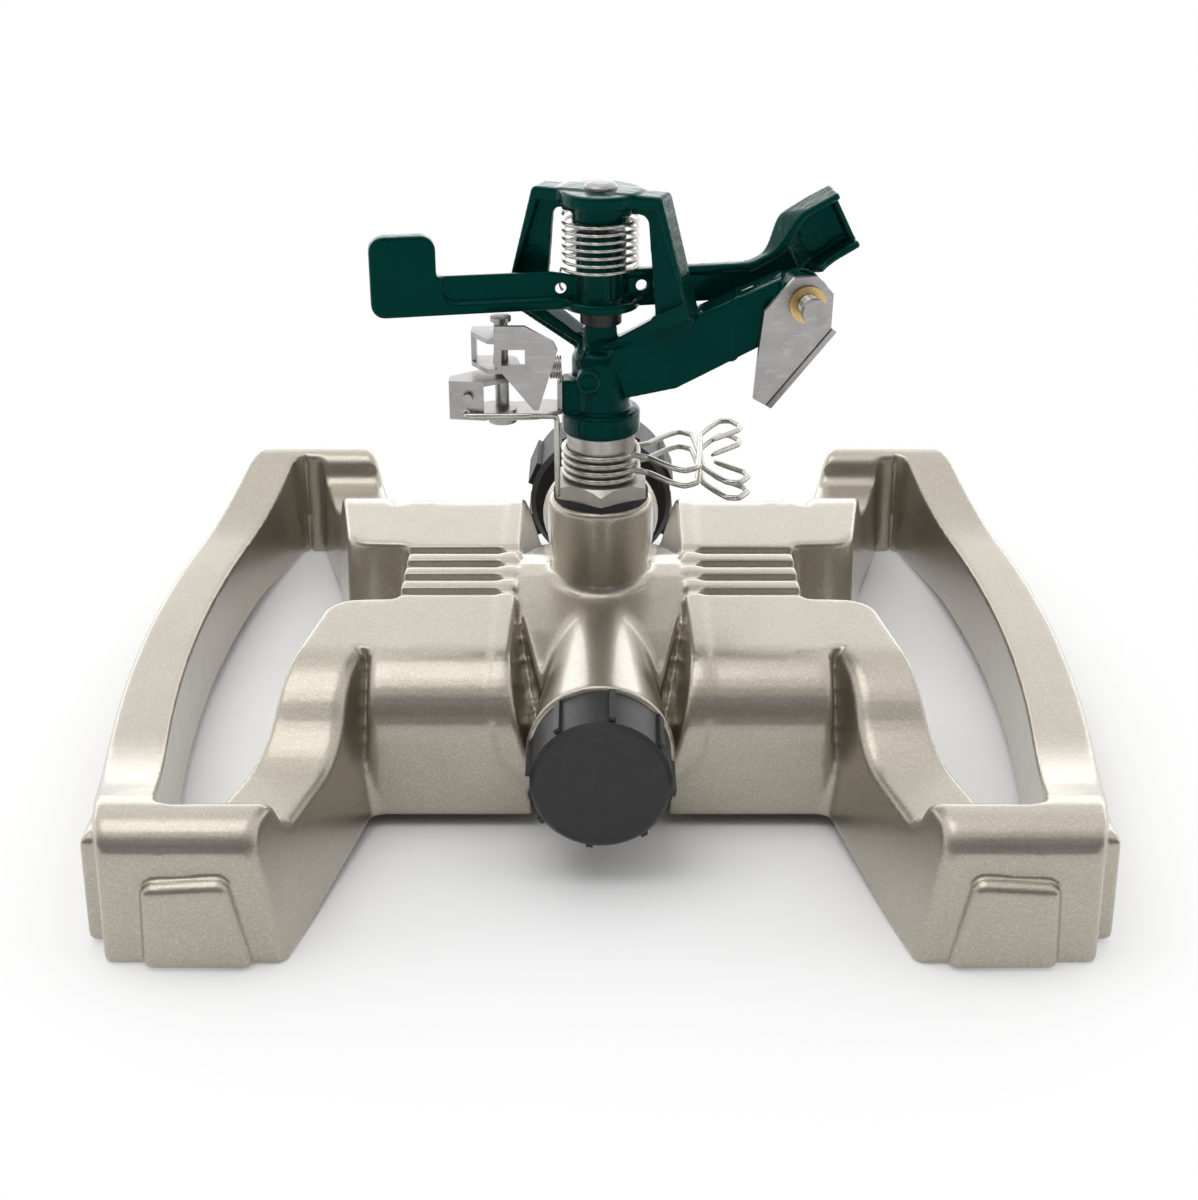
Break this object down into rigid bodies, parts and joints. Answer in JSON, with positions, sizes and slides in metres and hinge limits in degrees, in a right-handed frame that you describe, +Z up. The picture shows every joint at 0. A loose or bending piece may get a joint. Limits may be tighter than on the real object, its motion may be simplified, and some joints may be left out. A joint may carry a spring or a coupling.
{
  "type": "impact sprinkler on sled base",
  "caption": "Garden impact sprinkler with a green drive head on a cast sled base, hose coupling at the back and a cap at the front.",
  "frame": {"origin": "on the ground under the riser's axis, midway between the four feet", "axes": "+Z up along the riser, +Y to the hose coupling, +X across the two skids to the nozzle's side at rest"},
  "size_m": [0.2468, 0.2424, 0.1444],
  "materials": {
    "base_paint": "satin champagne paint with a fine metal flake",
    "head_enamel": "glossy dark green enamel over a cast surface",
    "black_plastic": "moulded, finely grained",
    "plated_steel": "dull zinc plating",
    "stainless": "pressed sheet and drawn wire",
    "spring_wire": "drawn wire",
    "brass": "turned",
    "rubber": "matt",
    "white_plastic": "moulded"
  },
  "bodies": {
    "base": {"base_casting": "base_paint", "riser_washer": "rubber", "bearing_sleeve": "plated_steel", "inlet_tailpiece": "plated_steel"},
    "front_cap": {"front_cap": "black_plastic", "cap_washer": "rubber"},
    "hose_coupling": {"hose_coupling": "black_plastic", "hose_washer": "rubber"},
    "stop_upper": {"collar_stop_upper": "spring_wire"},
    "stop_lower": {"collar_stop_lower": "spring_wire"},
    "head": {"head_body": "head_enamel", "bearing_tube": "brass", "thrust_washers": "white_plastic", "seal_washer": "rubber", "dust_seal": "rubber", "nozzle_insert": "white_plastic", "arm_bush": "black_plastic", "arm_pin": "stainless", "arm_spring": "spring_wire", "deflector_screw": "stainless", "deflector_spring": "spring_wire", "deflector_washer": "brass", "trip_bracket": "stainless", "trip_post": "stainless", "trip_spring": "spring_wire"},
    "arm": {"drive_arm": "head_enamel"},
    "deflector": {"deflector_plate": "stainless"},
    "trip_lever": {"trip_lever": "stainless", "lever_rivet": "stainless", "trip_wire": "spring_wire"},
    "trip_pawl": {"trip_pawl": "stainless"}
  },
  "joints": [
    {"name": "cap_turn", "type": "hinge", "parent": "base", "child": "front_cap", "pos_m": [0, -0.08, 0.027], "axis": [0, -1, 0], "continuous": true},
    {"name": "coupling_spin", "type": "hinge", "parent": "base", "child": "hose_coupling", "pos_m": [0, 0.09, 0.027], "axis": [0, 1, 0], "continuous": true},
    {"name": "stop_upper_turn", "type": "hinge", "parent": "base", "child": "stop_upper", "pos_m": [0, 0, 0.0747], "axis": [0, 0, 1], "continuous": true},
    {"name": "stop_lower_turn", "type": "hinge", "parent": "base", "child": "stop_lower", "pos_m": [0, 0, 0.0706], "axis": [0, 0, 1], "continuous": true},
    {"name": "head_spin", "type": "hinge", "parent": "base", "child": "head", "pos_m": [0, 0, 0.07], "axis": [0, 0, 1], "continuous": true},
    {"name": "arm_swing", "type": "hinge", "parent": "head", "child": "arm", "pos_m": [0, 0, 0.118], "axis": [0, 0, 1], "range_deg": [0, 100], "stiffness_Nm_per_rad": 0.01, "springref_deg": -28.65},
    {"name": "deflector_tilt", "type": "hinge", "parent": "head", "child": "deflector", "pos_m": [0.04997, -0.00939, 0.117], "axis": [0.1736, -0.9848, 0], "range_deg": [-20, 12]},
    {"name": "trip_swing", "type": "hinge", "parent": "head", "child": "trip_lever", "pos_m": [-0.0248, -0.006, 0.093], "axis": [0, 0, 1], "range_deg": [-10, 4]},
    {"name": "pawl_swing", "type": "hinge", "parent": "head", "child": "trip_pawl", "pos_m": [-0.0248, -0.006, 0.105], "axis": [0, 0, 1], "range_deg": [-4, 9]}
  ],
  "couplings": [
    {"joint": "pawl_swing", "follows": "trip_swing", "ratio": -0.8}
  ]
}
